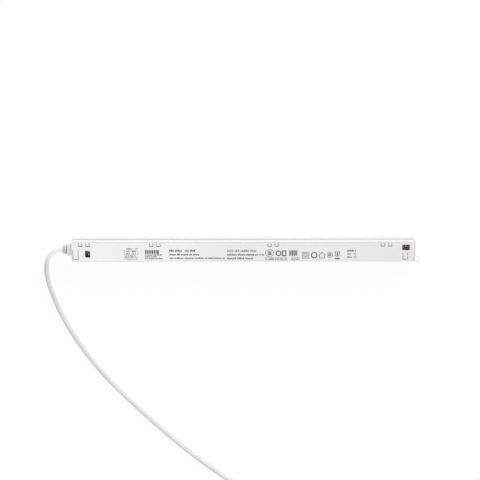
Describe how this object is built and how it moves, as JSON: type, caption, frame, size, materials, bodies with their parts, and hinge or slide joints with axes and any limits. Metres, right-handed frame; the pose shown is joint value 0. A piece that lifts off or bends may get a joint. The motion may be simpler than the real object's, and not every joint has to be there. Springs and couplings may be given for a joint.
{
  "type": "power supply",
  "caption": "Slim linear LED lamp driver in a square white plastic housing with a clip-in lid, a mounting ear, a strain relief and a mains lead that ends in a plug.",
  "frame": {"origin": "on the back face, in the middle of the body's length and height", "axes": "+X along the body towards the output end, +Y from the mounting wall to the lid, +Z out of the label face"},
  "size_m": [0.3311, 0.3089, 0.0183],
  "materials": {
    "housing_white": "fine satin moulded plastic, white",
    "cord_white": "soft satin sheath, white",
    "plug_white": "satin moulded plastic, white",
    "clamp_brown": "dark red-brown moulded plastic",
    "screw_bronze": "bronze-coated steel",
    "board_tan": "tan laminate",
    "terminal_green": "green moulded plastic",
    "core_brown": "brown insulation",
    "core_blue": "blue insulation",
    "component_black": "black moulding compound or sleeve",
    "component_blue": "blue dipped coating",
    "component_yellow": "yellow case or tape",
    "ferrite": "sintered ferrite, dark grey",
    "copper": "enamelled copper wire",
    "aluminium": "mill finish",
    "tinned": "nickel-plated brass",
    "ceramic": "ceramic tube with metal caps"
  },
  "bodies": {
    "root": {"housing_base": "housing_white", "housing_lid": "housing_white", "input_end_cap": "housing_white", "output_end_cap": "housing_white", "strain_relief": "cord_white", "cord_inside": "cord_white", "cord_run": "cord_white", "cord_coil": "cord_white", "cord_tail": "cord_white", "coil_tie": "cord_white", "plug_strain_relief": "cord_white", "plug_body": "plug_white", "input_clamp_block": "clamp_brown", "output_clamp_block": "clamp_brown", "input_clamp_bar": "screw_bronze", "input_clamp_screw_1": "screw_bronze", "input_clamp_screw_2": "screw_bronze", "output_clamp_bar": "screw_bronze", "output_clamp_screw_1": "screw_bronze", "output_clamp_screw_2": "screw_bronze", "circuit_board": "board_tan", "input_terminal_block": "terminal_green", "output_terminal_block": "terminal_green", "line_core": "core_brown", "neutral_core": "core_blue", "bridge_rectifier": "component_black", "bulk_capacitor_1": "component_black", "bulk_capacitor_2": "component_black", "switching_transistor": "component_black", "control_chip": "component_black", "output_capacitor": "component_black", "output_rectifier": "component_black", "optocoupler": "component_black", "transformer_bobbin": "component_black", "varistor": "component_blue", "safety_capacitor": "component_blue", "film_capacitor": "component_yellow", "transformer_winding": "component_yellow", "input_choke_core": "ferrite", "output_choke_core": "ferrite", "transformer_core": "ferrite", "input_choke_winding": "copper", "output_choke_winding": "copper", "switching_transistor_heatsink": "aluminium", "output_rectifier_heatsink": "aluminium", "plug_pin_1": "tinned", "plug_pin_2": "tinned", "fuse": "ceramic"}
  },
  "joints": []
}
